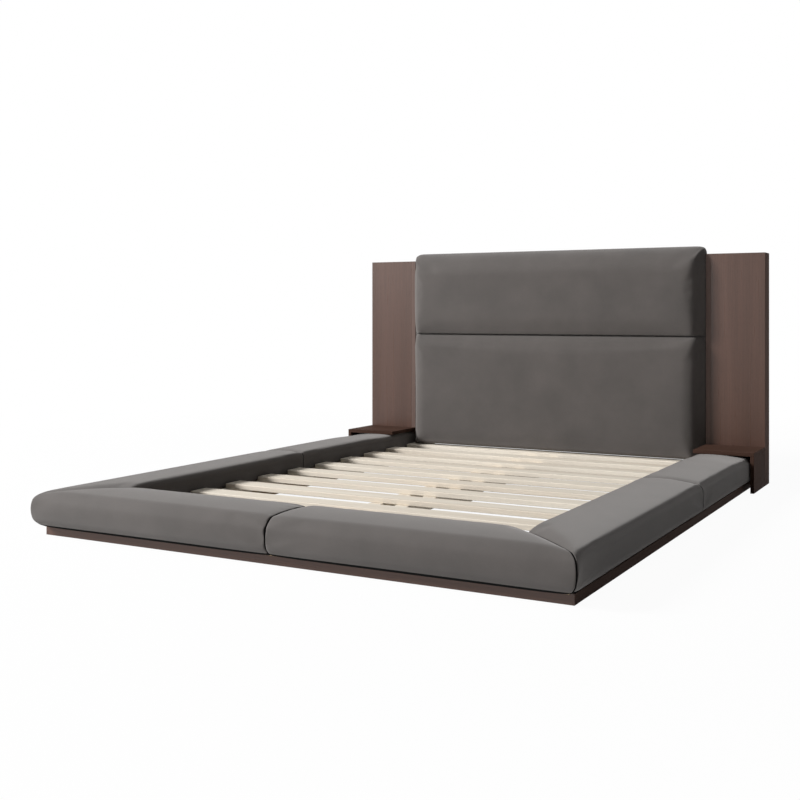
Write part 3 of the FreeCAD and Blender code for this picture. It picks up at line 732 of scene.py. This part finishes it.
def fittings():
    """Finishes of the hidden boards, the back cover and the metal and plastic parts."""
    board = make_board()
    boards = [name for name in nodes if name.endswith("_box") or "_box_" in name or "bearer" in name]
    clothe(boards + ["headboard_board", "headboard_frame", "plinth_rear"], board)
    clothe(["headboard_back_cover"], make_hardboard(), BOARD_EDGE)
    black = make_hard_finish("black_powder_coat", grey(0.018), grey(0.026), 0.0, 0.55)
    zinc = make_hard_finish("zinc_plate", (0.46, 0.47, 0.48), (0.58, 0.58, 0.57), 1.0, 0.38)
    plastic = make_hard_finish("black_plastic", grey(0.022), grey(0.03), 0.0, 0.5)
    clothe(["beam_brackets"], black)
    clothe(["slat_screws", "rail_bolts", "headboard_bolts"], zinc)
    clothe([name for name in nodes if name.startswith("levelling_foot")], plastic)


def light(name, place, width, height, power):
    """A soft light that faces the bed."""
    lamp = bpy.data.lights.new(name, "AREA")
    lamp.shape = "RECTANGLE"
    lamp.size = width
    lamp.size_y = height
    lamp.energy = power
    holder = bpy.data.objects.new(name, lamp)
    holder.location = place
    holder.rotation_euler = (Vector(LIGHT_AIM) - Vector(place)).to_track_quat("-Z", "Y").to_euler()
    scene.collection.objects.link(holder)


def seen_white(tree):
    """1 for rays from the camera and for mirrored and transmitted ones, and 0 for all other light."""
    path = tree.nodes.new("ShaderNodeLightPath")
    seen = path.outputs["Is Camera Ray"]
    for kind in ("Is Glossy Ray", "Is Transmission Ray"):
        either = tree.nodes.new("ShaderNodeMath")
        either.operation = "MAXIMUM"
        tree.links.new(seen, either.inputs[0])
        tree.links.new(path.outputs[kind], either.inputs[1])
        seen = either.outputs[0]
    return seen


def white_share(tree):
    """How much of the floor is plain white: most of it near the bed, where its shadow falls, and
    all of it far off, where the floor meets the backdrop."""
    place = tree.nodes.new("ShaderNodeTexCoord")
    distance = tree.nodes.new("ShaderNodeVectorMath")
    distance.operation = "LENGTH"
    tree.links.new(place.outputs["Object"], distance.inputs[0])
    fade = tree.nodes.new("ShaderNodeMapRange")
    for name, number in zip(("From Min", "From Max", "To Min", "To Max"), FLOOR_FADE):
        fade.inputs[name].default_value = number
    tree.links.new(distance.outputs["Value"], fade.inputs["Value"])
    share = tree.nodes.new("ShaderNodeMath")
    share.operation = "MULTIPLY"
    tree.links.new(seen_white(tree), share.inputs[0])
    tree.links.new(fade.outputs["Result"], share.inputs[1])
    return share.outputs[0]


def studio():
    """Pale floor, soft light and camera."""
    scene.view_settings.view_transform = "Standard"
    world = bpy.data.worlds.new("studio")
    scene.world = world
    world.use_nodes = True
    tree = world.node_tree
    dim = tree.nodes["Background"]
    dim.inputs["Color"].default_value = WHITE
    dim.inputs["Strength"].default_value = WORLD_LIGHT
    bright = tree.nodes.new("ShaderNodeBackground")
    bright.inputs["Color"].default_value = WHITE
    bright.inputs["Strength"].default_value = 1.0
    mix = tree.nodes.new("ShaderNodeMixShader")
    tree.links.new(seen_white(tree), mix.inputs[0])
    tree.links.new(dim.outputs[0], mix.inputs[1])
    tree.links.new(bright.outputs[0], mix.inputs[2])
    tree.links.new(mix.outputs[0], tree.nodes["World Output"].inputs["Surface"])

    material, tree, shader = new_material("studio_floor")
    shader.inputs["Base Color"].default_value = FLOOR_COLOUR
    shader.inputs["Roughness"].default_value = 0.9
    shader.inputs["Specular IOR Level"].default_value = 0.0
    glow = tree.nodes.new("ShaderNodeEmission")
    glow.inputs["Strength"].default_value = 1.0
    mix = tree.nodes.new("ShaderNodeMixShader")
    tree.links.new(white_share(tree), mix.inputs[0])
    tree.links.new(shader.outputs[0], mix.inputs[1])
    tree.links.new(glow.outputs[0], mix.inputs[2])
    tree.links.new(mix.outputs[0], tree.nodes["Material Output"].inputs["Surface"])
    mesh = bpy.data.meshes.new("floor")
    corners = [(across * FLOOR_REACH, along * FLOOR_REACH, 0)
               for across, along in ((-1, -1), (1, -1), (1, 1), (-1, 1))]
    mesh.from_pydata(corners, [], [(0, 1, 2, 3)])
    mesh.materials.append(material)
    floor = bpy.data.objects.new("floor", mesh)
    floor.location.z = -FLOOR_DROP
    scene.collection.objects.link(floor)

    for name, settings in LIGHTS.items():
        light(name, *settings)

    lens = bpy.data.cameras.new("camera")
    lens.sensor_width = SENSOR
    lens.lens = CAMERA_LENS
    lens.shift_x, lens.shift_y = CAMERA_SHIFT
    camera = bpy.data.objects.new("camera", lens)
    camera.location = CAMERA_PLACE
    camera.rotation_euler = (math.pi / 2, 0, CAMERA_TURN)
    scene.collection.objects.link(camera)
    scene.camera = camera


fabric = make_fabric()
lining_and_painted_shade = make_lining_and_painted_shade()
rail_cushions()
headboard_panel("headboard_pad_upper", PAD_ABOVE_SEAM, PAD_TOP, True)
headboard_panel("headboard_pad_lower", PAD_LOWER_EDGE, PAD_BELOW_SEAM, False)
timber()
fittings()
studio()
